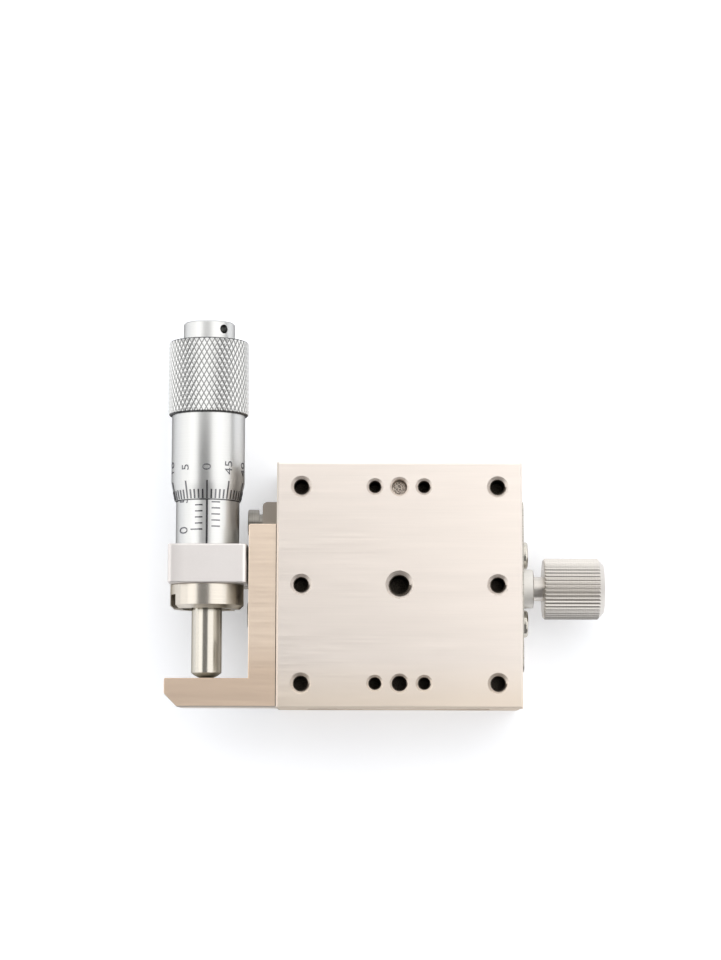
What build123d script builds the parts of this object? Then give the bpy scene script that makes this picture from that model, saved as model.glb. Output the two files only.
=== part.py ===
from build123d import *

import math
import os

os.makedirs("parts", exist_ok=True)

# Manual linear stage, 40 mm square, on crossed rollers, with a micrometer at its side.
# Millimetres. X runs across the stage, Y along its travel and the micrometer, Z up.
# The origin is the middle of the base's underside. The stage is drawn at mid travel.

# Stage block
STAGE_WIDTH = 40.0
STAGE_LENGTH = 40.0
STAGE_HEIGHT = 18.0
TRAVEL = 5.0  # each way from the middle
EDGE_BREAK = 0.3  # chamfer on the machined edges
TABLE_EDGE_BREAK = 0.32
HEAD_BREAK = 0.15  # chamfer on screw heads and washers

# Base, an open channel
BASE_WALL = 5.0
RAIL_SEAT = 6.0  # height of the ledges that carry the base's rails
FLOOR_DROP = 0.4  # the floor lies this far below the ledges
TABLE_GAP = 0.4  # air between the base's walls and the table
TABLE_PLATE = 5.6  # thickness of the table beyond its spine
SPINE_GAP = 0.6  # air between the floor and the table's spine

# Crossed-roller guide
RAIL_WIDTH = 4.2
RAIL_HEIGHT = 4.0
RAIL_INSET = 1.5  # from each end of the stage
RAIL_GAP = 0.6  # between the two rails of a pair
RAIL_EDGE = 0.1  # chamfer round each end
ROLLER_DIAMETER = 2.0
ROLLER_CLEARANCE = 0.01  # to each face of the groove
ROLLER_SHORTENING = 0.2  # a roller is this much shorter than it is thick
ROLLER_PITCH = 4.0
ROLLER_COUNT = 7
GROOVE_RELIEF_WIDTH = 0.4
GROOVE_RELIEF_DEPTH = 0.3
CAGE_THICKNESS = 0.3
CAGE_HEIGHT = 3.6
CAGE_END = 1.6  # strip beyond the last roller's middle
CAGE_CLEARANCE = 0.1  # round each roller
RAIL_SCREW_PITCH = 26.0
RAIL_SCREW_SHANK = 1.6
RAIL_SCREW_HEAD = 3.0
RAIL_SCREW_HEAD_HEIGHT = 1.4
RAIL_SCREW_GRIP = 3.0  # thread below the rail
RAIL_SCREW_INSET = 1.75  # from the rail's back
RAIL_COUNTERBORE_CLEARANCE = 0.1
CAGE_STOP_THICKNESS = 0.5
CAGE_STOP_MARGIN = 0.2  # short of the rail's edges and clear of the moving rail
CAGE_STOP_SCREW = 1.2
CAGE_STOP_HEAD = 2.2
CAGE_STOP_HEAD_HEIGHT = 0.8
CAGE_STOP_SLOT = 0.4
CAGE_STOP_SCREW_GRIP = 2.5

# Holes in the table and the base
HOLE_SPACING = 32.0
SMALL_HOLE_SPACING = 8.0
M3_TAP = 2.5
M3_MOUTH = 3.5
M4_TAP = 3.3
M4_MOUTH = 4.6
M25_TAP = 2.05
M25_MOUTH = 2.8
ROW_MIDDLE_MOUTH = 3.2
CENTRE_HOLE_DEPTH = 8.0
ROW_HOLE_DEPTH = 6.0
BASE_HOLE_DEPTH = 5.0
PLUG_DEPTH = 3.1  # the plug screw's face below the table's
PLUG_SOCKET = 1.3
PLUG_SOCKET_DEPTH = 1.3

# Return spring and its posts
SPRING_DIAMETER = 3.2
SPRING_WIRE = 0.45
SPRING_SLOT_CLEARANCE = 0.7
SPRING_SLOT_FLOOR = 1.6
SPRING_SLOT_CORNER = 1.5
SPRING_LINK = 0.5  # straight wire between a loop and the coil
POST_DIAMETER = 2.0
POST_EMBED = 5.0
POST_CLEARANCE = 0.3
BASE_POST_INSET = 5.0  # from the stage's far end
TABLE_POST_INSET = 9.0  # from its near end

# Anvil bracket on the table's side
BRACKET_THICKNESS = 4.55
BRACKET_HEIGHT = 9.6
BRACKET_DROP = 0.4  # below the table's top
BRACKET_FOOT_THICKNESS = 4.75
BRACKET_INSET = 0.1  # from the table's end
BRACKET_ARM_LENGTH = 29.8
BRACKET_OVERHANG = 0.35  # the foot ends this far beyond the block
BRACKET_CORNER = 2.2
BRACKET_CORNER_EDGE = 0.7  # softens the cut corner
BRACKET_EDGE = 0.35
BRACKET_TOP_EDGE = 0.12
BRACKET_FRONT_EDGE = 0.25  # along the front of the foot
BRACKET_SCREW_SHANK = 2.5
BRACKET_SCREW_HEAD = 4.5
BRACKET_SCREW_HEAD_HEIGHT = 2.4
BRACKET_SCREW_GRIP = 4.0
BRACKET_SCREW_DEPTH = 2.7  # below the bracket's top
BRACKET_SCREW_YS = (5.0, -11.0)
BRACKET_SCREW_CLEARANCE = 0.15
ARM_CLEARANCE = 0.3  # between the moving bracket and the base

# Micrometer holder
MICROMETER_DEPTH = 7.0  # its axis below the table's top
HOLDER_BLOCK_WIDTH = 13.0
HOLDER_BLOCK_LENGTH = 6.4
HOLDER_BLOCK_Y = 3.5
HOLDER_BLOCK_RISE = 6.5  # above the micrometer's axis
HOLDER_AXIS_OFFSET = 0.35  # the axis lies this far outside the block's middle
HOLDER_CLEARANCE = 0.25  # between the block and the bracket's arm
HOLDER_BOTTOM = 1.8
HOLDER_TOP_EDGE = 0.8  # rounding along the micrometer
HOLDER_EDGE = 0.25
FLANGE_THICKNESS = 2.7
FLANGE_LENGTH = 22.0
FLANGE_CLEARANCE = 0.4  # under the bracket's arm
FLANGE_CORNER = 0.8
FLANGE_SCREW_SPACING = 15.5
FLANGE_SCREW_SHANK = 2.5
FLANGE_SCREW_NECK = 2.9
FLANGE_SCREW_NECK_LENGTH = 0.65
FLANGE_SCREW_HEAD = 4.5
FLANGE_SCREW_HEAD_HEIGHT = 1.85
FLANGE_SCREW_GRIP = 4.8

# Micrometer head
SCREW_CLEARANCE = 0.03  # radial, of the turning parts in their bores
SPINDLE_DIAMETER = 5.0
SPINDLE_DOME = 1.0
SPINDLE_TIP_GAP = 0.01
SCREW_DIAMETER = 6.5
SPINDLE_SEAT_DIAMETER = 4.6
SPINDLE_SEAT_LENGTH = 3.0
SHANK_DIAMETER = 8.0
SHANK_END = 3.0  # beyond the block, inside the clamp nut
STEM_STEP = 1.5  # the wide bore starts this far behind the block
STEM_NECK = 8.4
SLEEVE_DIAMETER = 10.5
SLEEVE_WALL = 0.6
ZERO_MARK = 2.45  # from the block to the sleeve's zero
CLAMP_NUT_DIAMETER = 12.1
CLAMP_NUT_LENGTH = 4.0
CLAMP_NUT_CHAMFER = 0.6
CLAMP_NUT_BACK_CHAMFER = 0.1
CLAMP_NUT_SLOT_WIDTH = 1.9
CLAMP_NUT_SLOT_DEPTH = 2.3
CLAMP_NUT_SLOT_ANGLE = 116.0  # degrees from straight up, towards the stage
ADJUSTING_NUT_DIAMETER = 9.8
ADJUSTING_NUT_LENGTH = 3.6
ADJUSTING_NUT_SLOT = 0.8
THIMBLE_LENGTH = 26.6
THIMBLE_DIAMETER = 12.15
THIMBLE_EDGE_DIAMETER = 10.9
THIMBLE_BEVEL = 3.0
THIMBLE_BORE = 10.7
THIMBLE_END_WALL = 5.2
THIMBLE_REAR_GAP = 0.5  # left behind the stem when the spindle is all the way out
GRIP_DIAMETER = 13.4
GRIP_LENGTH = 12.35
GRIP_CHAMFER = 0.35
CAP_DIAMETER = 8.55
CAP_LENGTH = 3.25
CAP_CHAMFER = 0.25
CAP_SCREW_DIAMETER = 3.0
CAP_SCREW_LENGTH = 4.2
TOMMY_HOLE = 1.5
TOMMY_HOLE_INSET = 1.4
TOMMY_HOLE_ANGLE = 38.0  # degrees from straight up, towards the stage

# Lock
LOCK_RISE = 5.0  # the knob's axis above the leaf's lower edge
LEAF_LENGTH = 28.0
LEAF_HEIGHT = 11.4
LEAF_OVERLAP = 2.0  # the leaf reaches this far up the table's side
LEAF_THICKNESS = 0.45
LEAF_CORNER = 1.2
LEAF_SCREW_SPACING = 11.4
LEAF_SCREW_RISE = 3.0  # above the leaf's lower edge
LEAF_SCREW_SHANK = 2.5
LEAF_SCREW_HEAD = 4.6
LEAF_SCREW_HEAD_HEIGHT = 1.15
LEAF_SCREW_HEAD_EDGE = 0.35
LEAF_SCREW_GRIP = 4.0
LEAF_SCREW_RECESS = 0.5
LEAF_SCREW_CROSS = 2.4
LEAF_SCREW_CROSS_WIDTH = 0.5
LEAF_RELIEF_DEPTH = 0.2  # behind the leaf, above its screws
BRAKE_TRACK_DEPTH = 0.15
BRAKE_TRACK_MARGIN = 0.3
LOCK_SCREW_DIAMETER = 3.0
LOCK_SCREW_GRIP = 4.3
LOCK_WASHER_DIAMETER = 6.5
LOCK_WASHER_THICKNESS = 1.9
LOCK_WASHER_CLEARANCE = 0.1
LOCK_NECK_DIAMETER = 4.05
LOCK_NECK_LENGTH = 1.65
KNOB_DIAMETER = 10.15
KNOB_LENGTH = 10.0
KNOB_FACE_CHAMFER = 0.95
KNOB_NECK_CHAMFER = 0.25
KNOB_RIBS = 48
KNOB_RIB_DEPTH = 0.2
KNOB_RIB_LAND = 0.2  # share of the pitch for a rib's top, and for the floor between two
SCREW_SOCKET_SHARE = 0.45  # of the head's diameter, across the flats
SCREW_SOCKET_DEPTH = 1.1

# Places that follow from the sizes above
half_width = STAGE_WIDTH / 2
half_length = STAGE_LENGTH / 2
half_spacing = HOLE_SPACING / 2
floor_top = RAIL_SEAT - FLOOR_DROP
table_bottom = STAGE_HEIGHT - TABLE_PLATE
wall_top = table_bottom - TABLE_GAP
rail_top = RAIL_SEAT + RAIL_HEIGHT
rail_middle = RAIL_SEAT + RAIL_HEIGHT / 2
wall_face = half_width - BASE_WALL
track_x = wall_face - RAIL_WIDTH - RAIL_GAP / 2
spine_face = track_x - RAIL_GAP / 2 - RAIL_WIDTH
rail_end = half_length - RAIL_INSET
spine_bottom = floor_top + SPINE_GAP
spring_z = (SPRING_SLOT_FLOOR + floor_top) / 2
base_post_y = half_length - BASE_POST_INSET
table_post_y = -half_length + TABLE_POST_INSET

bracket_top = STAGE_HEIGHT - BRACKET_DROP
bracket_bottom = bracket_top - BRACKET_HEIGHT
bracket_screw_z = bracket_top - BRACKET_SCREW_DEPTH
bracket_end = -half_length + BRACKET_INSET
anvil_face = bracket_end + BRACKET_FOOT_THICKNESS

block_right = -half_width - BRACKET_THICKNESS - HOLDER_CLEARANCE
block_left = block_right - HOLDER_BLOCK_WIDTH
micrometer_x = block_left + HOLDER_BLOCK_WIDTH / 2 - HOLDER_AXIS_OFFSET
micrometer_z = STAGE_HEIGHT - MICROMETER_DEPTH
flange_top = bracket_bottom - FLANGE_CLEARANCE
flange_screw_z = (HOLDER_BOTTOM + flange_top) / 2
block_front = HOLDER_BLOCK_Y - HOLDER_BLOCK_LENGTH / 2
block_back = HOLDER_BLOCK_Y + HOLDER_BLOCK_LENGTH / 2
zero_y = block_back + ZERO_MARK
thimble_front = zero_y + TRAVEL
thimble_back = thimble_front + THIMBLE_LENGTH
end_wall = thimble_back - THIMBLE_END_WALL
stem_back = end_wall - TRAVEL - THIMBLE_REAR_GAP
sleeve_back = stem_back - ADJUSTING_NUT_LENGTH
stem_diameter = SLEEVE_DIAMETER - 2 * SLEEVE_WALL
stem_step = block_back + STEM_STEP

leaf_face = half_width + LEAF_THICKNESS
leaf_top = table_bottom + LEAF_OVERLAP
leaf_bottom = leaf_top - LEAF_HEIGHT
lock_z = leaf_bottom + LOCK_RISE
leaf_screw_z = leaf_bottom + LEAF_SCREW_RISE
relief_z = leaf_screw_z + LEAF_SCREW_HEAD / 2
washer_face = leaf_face + LOCK_WASHER_THICKNESS
knob_face = washer_face + LOCK_NECK_LENGTH


def prism_along_y(points, length):
    """A profile drawn in X and Z, run along Y to both sides of the middle."""
    return extrude(Plane.XZ * Polygon(*points, align=None), amount=length / 2, both=True)


def block(x, y, z):
    """A box between two values on each axis."""
    size = Box(x[1] - x[0], y[1] - y[0], z[1] - z[0])
    return Pos((x[0] + x[1]) / 2, (y[0] + y[1]) / 2, (z[0] + z[1]) / 2) * size


def rod(radius, length):
    """A cylinder that starts at the origin and runs up Z."""
    return Cylinder(radius, length, align=(Align.CENTER, Align.CENTER, Align.MIN))


def turned(stations):
    """A solid of revolution about Z from (radius, height) corners."""
    profile = Polygon(*stations, align=None)
    return revolve(Plane.XZ * profile, axis=Axis.Z)


def facing(x, y, z, direction):
    """Puts what is drawn along +Z at a point, turned to one of the main directions."""
    turns = {
        "+X": Rot(0, 90, 0),
        "-X": Rot(0, -90, 0),
        "+Y": Rot(-90, 0, 0),
        "-Y": Rot(90, 0, 0),
        "+Z": Rot(0, 0, 0),
        "-Z": Rot(180, 0, 0),
    }
    return Pos(x, y, z) * turns[direction]


def on_micrometer(y):
    """The micrometer's axis, with +Z of the drawing towards its cap."""
    return facing(micrometer_x, y, micrometer_z, "+Y")


def tapped_hole(diameter, mouth, depth):
    """The cut of a tapped hole with a countersunk mouth at the origin, running down."""
    sink = (mouth - diameter) / 2
    return turned([(0, 0), (mouth / 2, 0), (diameter / 2, -sink), (diameter / 2, -depth), (0, -depth)])


def socket(width, depth):
    """A hexagon socket, open at the origin and running down."""
    return extrude(RegularPolygon(width / 2, 6, major_radius=False), amount=-depth)


def cap_screw(shank, length, head, head_height):
    """A socket-head screw: the head stands on the origin and the shank runs down."""
    body = rod(head / 2, head_height)
    body = chamfer(body.edges().group_by(Axis.Z)[-1], HEAD_BREAK)
    body += Pos(0, 0, -length) * rod(shank / 2, length)
    return body - Pos(0, 0, head_height) * socket(head * SCREW_SOCKET_SHARE, SCREW_SOCKET_DEPTH)


def rail_direction(back_x):
    """Which way a rail's groove looks along X, for a rail whose back is at this X."""
    outwards = math.copysign(1, back_x)
    return outwards if abs(back_x) < track_x else -outwards


def rail_screw_places(back_x):
    """Where a rail's screws stand, for a rail whose back is at this X."""
    x = back_x + rail_direction(back_x) * RAIL_SCREW_INSET
    return [(x, side * RAIL_SCREW_PITCH / 2) for side in (-1, 1)]


def make_base():
    """The channel that holds everything: floor, two walls and the ledges for the rails."""
    ledge = track_x + RAIL_GAP / 2 - CAGE_STOP_MARGIN
    half = [
        (0, 0),
        (half_width, 0),
        (half_width, wall_top),
        (wall_face, wall_top),
        (wall_face, RAIL_SEAT),
        (ledge, RAIL_SEAT),
        (ledge, floor_top),
        (0, floor_top),
    ]
    outline = half + [(-x, z) for x, z in reversed(half[1:-1])]
    base = prism_along_y(outline, STAGE_LENGTH)
    base = chamfer(base.edges().group_by(Axis.Z)[0], EDGE_BREAK)

    relief_bottom = bracket_bottom - ARM_CLEARANCE
    base -= block(
        (-half_width - EDGE_BREAK, -half_width + ARM_CLEARANCE),
        (-half_length, half_length),
        (relief_bottom, wall_top),
    )

    slot_width = SPRING_DIAMETER + 2 * SPRING_SLOT_CLEARANCE
    slot_front = table_post_y - TRAVEL - POST_DIAMETER / 2 - POST_CLEARANCE
    slot_back = base_post_y + slot_width / 2
    slot = Rectangle(slot_width, slot_back - slot_front)
    slot = fillet(slot.vertices(), SPRING_SLOT_CORNER)
    slot_middle = (slot_front + slot_back) / 2
    base -= Pos(0, slot_middle, SPRING_SLOT_FLOOR) * extrude(slot, amount=floor_top)
    base -= Pos(0, base_post_y, 0) * rod(POST_DIAMETER / 2, floor_top)

    mounting = tapped_hole(M4_TAP, M4_MOUTH, BASE_HOLE_DEPTH)
    for place in GridLocations(HOLE_SPACING, HOLE_SPACING, 2, 2):
        base -= place * Rot(180, 0, 0) * mounting
    for back in (wall_face, -wall_face):
        for x, y in rail_screw_places(back):
            base -= Pos(x, y, RAIL_SEAT - RAIL_SCREW_GRIP) * rod(RAIL_SCREW_SHANK / 2, RAIL_SCREW_GRIP)
    for y in flange_screw_ys():
        base -= facing(-half_width, y, flange_screw_z, "+X") * rod(FLANGE_SCREW_SHANK / 2, FLANGE_SCREW_GRIP)
    for y in leaf_screw_ys():
        base -= facing(half_width, y, leaf_screw_z, "-X") * rod(LEAF_SCREW_SHANK / 2, LEAF_SCREW_GRIP)
    lock_bore = LOCK_SCREW_DIAMETER / 2 + SCREW_CLEARANCE
    base -= facing(half_width, 0, lock_z, "-X") * rod(lock_bore, BASE_WALL)
    base -= block(
        (half_width - LEAF_RELIEF_DEPTH, half_width + EDGE_BREAK),
        (-half_length, half_length),
        (relief_z, wall_top),
    )
    return base


def make_table():
    """The moving table: a thick plate, a shoulder for its rails and a spine between them."""
    shoulder = track_x - RAIL_GAP / 2
    half = [
        (0, spine_bottom),
        (spine_face, spine_bottom),
        (spine_face, rail_top),
        (shoulder, rail_top),
        (shoulder, table_bottom),
        (half_width, table_bottom),
        (half_width, STAGE_HEIGHT),
        (0, STAGE_HEIGHT),
    ]
    outline = half + [(-x, z) for x, z in reversed(half[1:-1])]
    table = prism_along_y(outline, STAGE_LENGTH)
    table = chamfer(table.edges().group_by(Axis.Z)[-1], TABLE_EDGE_BREAK)
    table -= block(
        (half_width - BRAKE_TRACK_DEPTH, half_width + EDGE_BREAK),
        (-half_length, half_length),
        (table_bottom, leaf_top + BRAKE_TRACK_MARGIN),
    )

    through = tapped_hole(M3_TAP, M3_MOUTH, TABLE_PLATE)
    for place in GridLocations(HOLE_SPACING, half_spacing, 2, 3):
        table -= Pos(0, 0, STAGE_HEIGHT) * place * through
    row = tapped_hole(M25_TAP, M25_MOUTH, ROW_HOLE_DEPTH)
    for place in GridLocations(SMALL_HOLE_SPACING, HOLE_SPACING, 2, 2):
        table -= Pos(0, 0, STAGE_HEIGHT) * place * row
    middle = tapped_hole(M3_TAP, ROW_MIDDLE_MOUTH, ROW_HOLE_DEPTH)
    for place in GridLocations(0, HOLE_SPACING, 1, 2):
        table -= Pos(0, 0, STAGE_HEIGHT) * place * middle
    table -= Pos(0, 0, STAGE_HEIGHT) * tapped_hole(M4_TAP, M4_MOUTH, CENTRE_HOLE_DEPTH)

    table -= Pos(0, table_post_y, spine_bottom) * rod(POST_DIAMETER / 2, POST_EMBED)
    for back in (spine_face, -spine_face):
        for x, y in rail_screw_places(back):
            table -= Pos(x, y, rail_top) * rod(RAIL_SCREW_SHANK / 2, RAIL_SCREW_GRIP)
    for y in BRACKET_SCREW_YS:
        screw = rod(BRACKET_SCREW_SHANK / 2, BRACKET_SCREW_GRIP)
        table -= facing(-half_width, y, bracket_screw_z, "+X") * screw
    return table


def make_rail(back_x):
    """One rail of a crossed-roller pair. Its back is at this X, and its groove faces the track."""
    side = math.copysign(1, back_x)
    towards = rail_direction(back_x)
    face_x = back_x + towards * RAIL_WIDTH
    apex = track_x * side
    reach = ROLLER_DIAMETER / math.sqrt(2)
    open_half = reach - RAIL_GAP / 2
    relief = GROOVE_RELIEF_WIDTH / 2
    relief_start = reach - relief
    relief_end = reach + GROOVE_RELIEF_DEPTH
    groove = [
        (face_x, rail_middle - open_half),
        (apex - towards * relief_start, rail_middle - relief),
        (apex - towards * relief_end, rail_middle - relief),
        (apex - towards * relief_end, rail_middle + relief),
        (apex - towards * relief_start, rail_middle + relief),
        (face_x, rail_middle + open_half),
    ]
    outline = [(back_x, RAIL_SEAT), (face_x, RAIL_SEAT)] + groove + [(face_x, rail_top), (back_x, rail_top)]
    rail = prism_along_y(outline, 2 * rail_end)
    ends = rail.faces().sort_by(Axis.Y)
    rail = chamfer(ends[0].edges() + ends[-1].edges(), RAIL_EDGE)

    fixed = abs(back_x) > track_x
    head = RAIL_SCREW_HEAD / 2 + RAIL_COUNTERBORE_CLEARANCE
    sunk = RAIL_SCREW_HEAD_HEIGHT + RAIL_COUNTERBORE_CLEARANCE
    for x, y in rail_screw_places(back_x):
        top = facing(x, y, rail_top, "-Z") if fixed else facing(x, y, RAIL_SEAT, "+Z")
        rail -= top * rod(head, sunk)
        rail -= top * rod(RAIL_SCREW_SHANK / 2, RAIL_HEIGHT)
    if fixed:
        for end in (-1, 1):
            direction = "+Y" if end < 0 else "-Y"
            place = facing(cage_stop_screw_x(side), end * rail_end, rail_middle, direction)
            rail -= place * rod(CAGE_STOP_SCREW / 2, CAGE_STOP_SCREW_GRIP)
    return rail


def make_rail_screws(fixed):
    """The sunk screws that hold both rails of the base, or both of the table."""
    length = RAIL_HEIGHT - RAIL_SCREW_HEAD_HEIGHT - RAIL_COUNTERBORE_CLEARANCE + RAIL_SCREW_GRIP
    screw = cap_screw(RAIL_SCREW_SHANK, length, RAIL_SCREW_HEAD, RAIL_SCREW_HEAD_HEIGHT)
    seat = RAIL_HEIGHT - RAIL_SCREW_HEAD_HEIGHT - RAIL_COUNTERBORE_CLEARANCE
    screws = []
    for side in (-1, 1):
        back = side * (wall_face if fixed else spine_face)
        for x, y in rail_screw_places(back):
            if fixed:
                screws.append(facing(x, y, RAIL_SEAT + seat, "+Z") * screw)
            else:
                screws.append(facing(x, y, rail_top - seat, "-Z") * screw)
    return screws


def roller_ys():
    """The rollers' places along the track, about its middle."""
    first = -(ROLLER_COUNT - 1) / 2 * ROLLER_PITCH
    return [first + number * ROLLER_PITCH for number in range(ROLLER_COUNT)]


def make_rollers(side):
    """The rollers of one track, each lying across its neighbours."""
    radius = ROLLER_DIAMETER / 2 - ROLLER_CLEARANCE
    length = ROLLER_DIAMETER - ROLLER_SHORTENING
    roller = Cylinder(radius, length)
    rollers = []
    for number, y in enumerate(roller_ys()):
        lean = 45 if number % 2 else -45
        rollers.append(Pos(side * track_x, y, rail_middle) * Rot(0, lean, 0) * roller)
    return rollers


def make_cage(side):
    """The thin strip that keeps the rollers of one track apart."""
    half = roller_ys()[-1] + CAGE_END
    x = side * track_x
    strip = block(
        (x - CAGE_THICKNESS / 2, x + CAGE_THICKNESS / 2),
        (-half, half),
        (rail_middle - CAGE_HEIGHT / 2, rail_middle + CAGE_HEIGHT / 2),
    )
    lean = (2 * ROLLER_DIAMETER - ROLLER_SHORTENING) / 2 / math.sqrt(2)
    window = Box(
        2 * CAGE_THICKNESS,
        ROLLER_DIAMETER + 2 * CAGE_CLEARANCE,
        2 * (lean + CAGE_CLEARANCE),
    )
    for y in roller_ys():
        strip -= Pos(x, y, rail_middle) * window
    return strip


def cage_stop_screw_x(side):
    """Where the screw of a cage stop stands on the end of a fixed rail."""
    return side * (wall_face - RAIL_SCREW_INSET)


def make_cage_stops():
    """Small plates on the ends of the fixed rails that keep the cages in."""
    stops = []
    for side in (-1, 1):
        outer = side * (wall_face - CAGE_STOP_MARGIN)
        inner = side * (track_x - RAIL_GAP / 2 + CAGE_STOP_MARGIN)
        for end in (-1, 1):
            y = sorted((end * rail_end, end * (rail_end + CAGE_STOP_THICKNESS)))
            z = (RAIL_SEAT + CAGE_STOP_MARGIN, rail_top - CAGE_STOP_MARGIN)
            plate = block(sorted((outer, inner)), y, z)
            direction = "+Y" if end > 0 else "-Y"
            place = facing(cage_stop_screw_x(side), end * rail_end, rail_middle, direction)
            stops.append(plate - place * rod(CAGE_STOP_SCREW / 2, CAGE_STOP_THICKNESS))
    return stops


def make_cage_stop_screws():
    """The screws of the four cage stops."""
    length = CAGE_STOP_THICKNESS + CAGE_STOP_SCREW_GRIP
    screw = rod(CAGE_STOP_HEAD / 2, CAGE_STOP_HEAD_HEIGHT)
    screw += Pos(0, 0, -length) * rod(CAGE_STOP_SCREW / 2, length)
    slot = Box(CAGE_STOP_HEAD, CAGE_STOP_SLOT, 2 * CAGE_STOP_SLOT)
    screw -= Pos(0, 0, CAGE_STOP_HEAD_HEIGHT) * slot
    screws = []
    for side in (-1, 1):
        for end in (-1, 1):
            y = end * (rail_end + CAGE_STOP_THICKNESS)
            direction = "+Y" if end > 0 else "-Y"
            screws.append(facing(cage_stop_screw_x(side), y, rail_middle, direction) * screw)
    return screws


def make_post(y, bottom, top):
    """A plain pin that holds one end of the return spring."""
    return Pos(0, y, bottom) * rod(POST_DIAMETER / 2, top - bottom)


def make_return_spring():
    """The tension spring that keeps the anvil against the spindle: coil, links and end loops."""
    coil_radius = SPRING_DIAMETER / 2
    wire = SPRING_WIRE / 2
    loop_radius = POST_DIAMETER / 2 + wire
    front = table_post_y + loop_radius + SPRING_LINK
    back = base_post_y - loop_radius - SPRING_LINK
    tube = Circle(coil_radius) - Circle(coil_radius - SPRING_WIRE)
    spring = facing(0, front, spring_z, "+Y") * extrude(tube, amount=back - front)
    for y, towards in ((table_post_y, 1), (base_post_y, -1)):
        spring += Pos(0, y, spring_z) * Torus(loop_radius, wire)
        end = front if towards > 0 else back
        link = Box(SPRING_DIAMETER - SPRING_WIRE, SPRING_WIRE, SPRING_WIRE)
        spring += Pos(0, end + towards * wire, spring_z) * link
        tie = Box(SPRING_WIRE, SPRING_LINK + SPRING_WIRE, SPRING_WIRE)
        spring += Pos(0, end - towards * SPRING_LINK / 2, spring_z) * tie
    return spring


def make_plug_screw():
    """The set screw sunk in the middle hole of the table's far row."""
    length = ROW_HOLE_DEPTH - PLUG_DEPTH
    screw = Pos(0, 0, -length) * rod(M3_TAP / 2, length) - socket(PLUG_SOCKET, PLUG_SOCKET_DEPTH)
    return Pos(0, half_spacing, STAGE_HEIGHT - PLUG_DEPTH) * screw


def make_anvil_bracket():
    """The L-shaped bracket on the table's side, whose foot the spindle pushes."""
    inner = -half_width
    arm = inner - BRACKET_THICKNESS
    reach = block_left - BRACKET_OVERHANG
    outline = [
        (inner, bracket_end),
        (inner, bracket_end + BRACKET_ARM_LENGTH),
        (arm, bracket_end + BRACKET_ARM_LENGTH),
        (arm, anvil_face),
        (reach, anvil_face),
        (reach, bracket_end + BRACKET_CORNER),
        (reach + BRACKET_CORNER, bracket_end),
    ]
    profile = Pos(0, 0, bracket_bottom) * Polygon(*outline, align=None)
    bracket = extrude(profile, amount=BRACKET_HEIGHT)
    front = bracket.edges().group_by(Axis.Z)[-1].group_by(Axis.Y)[0]
    bracket = chamfer(front, BRACKET_FRONT_EDGE)
    behind_front = bracket_end + EDGE_BREAK
    rim = bracket.edges().group_by(Axis.Z)[-1].filter_by(lambda edge: edge.center().Y > behind_front)
    bracket = chamfer(rim, BRACKET_TOP_EDGE)
    upright = bracket.edges().filter_by(Axis.Z)
    outer = upright.filter_by(lambda edge: edge.center().X < arm + EDGE_BREAK)
    end = outer.filter_by(lambda edge: edge.center().Y > anvil_face + BRACKET_CORNER)
    heel = outer.filter_by(lambda edge: edge.center().X < reach + EDGE_BREAK)
    heel = heel.filter_by(lambda edge: edge.center().Y > anvil_face - EDGE_BREAK)
    bracket = fillet(end + heel, BRACKET_EDGE)
    upright = bracket.edges().filter_by(Axis.Z)
    foot = upright.filter_by(lambda edge: edge.center().X < reach + BRACKET_CORNER + EDGE_BREAK)
    cut = foot.filter_by(lambda edge: edge.center().Y < anvil_face - EDGE_BREAK)
    bracket = fillet(cut, BRACKET_CORNER_EDGE)
    head = BRACKET_SCREW_HEAD / 2 + BRACKET_SCREW_CLEARANCE
    for y in BRACKET_SCREW_YS:
        place = facing(arm, y, bracket_screw_z, "+X")
        bracket -= place * rod(head, BRACKET_SCREW_HEAD_HEIGHT + BRACKET_SCREW_CLEARANCE)
        bracket -= place * rod(BRACKET_SCREW_SHANK / 2, BRACKET_THICKNESS)
    return bracket


def make_bracket_screws():
    """The two sunk screws that hold the bracket to the table."""
    seat = BRACKET_THICKNESS - BRACKET_SCREW_HEAD_HEIGHT - BRACKET_SCREW_CLEARANCE
    length = seat + BRACKET_SCREW_GRIP
    screw = cap_screw(BRACKET_SCREW_SHANK, length, BRACKET_SCREW_HEAD, BRACKET_SCREW_HEAD_HEIGHT)
    x = -half_width - seat
    return [facing(x, y, bracket_screw_z, "-X") * screw for y in BRACKET_SCREW_YS]


def flange_screw_ys():
    """The holder's screws, about the middle of its block."""
    return [HOLDER_BLOCK_Y + side * FLANGE_SCREW_SPACING / 2 for side in (-1, 1)]


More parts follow.
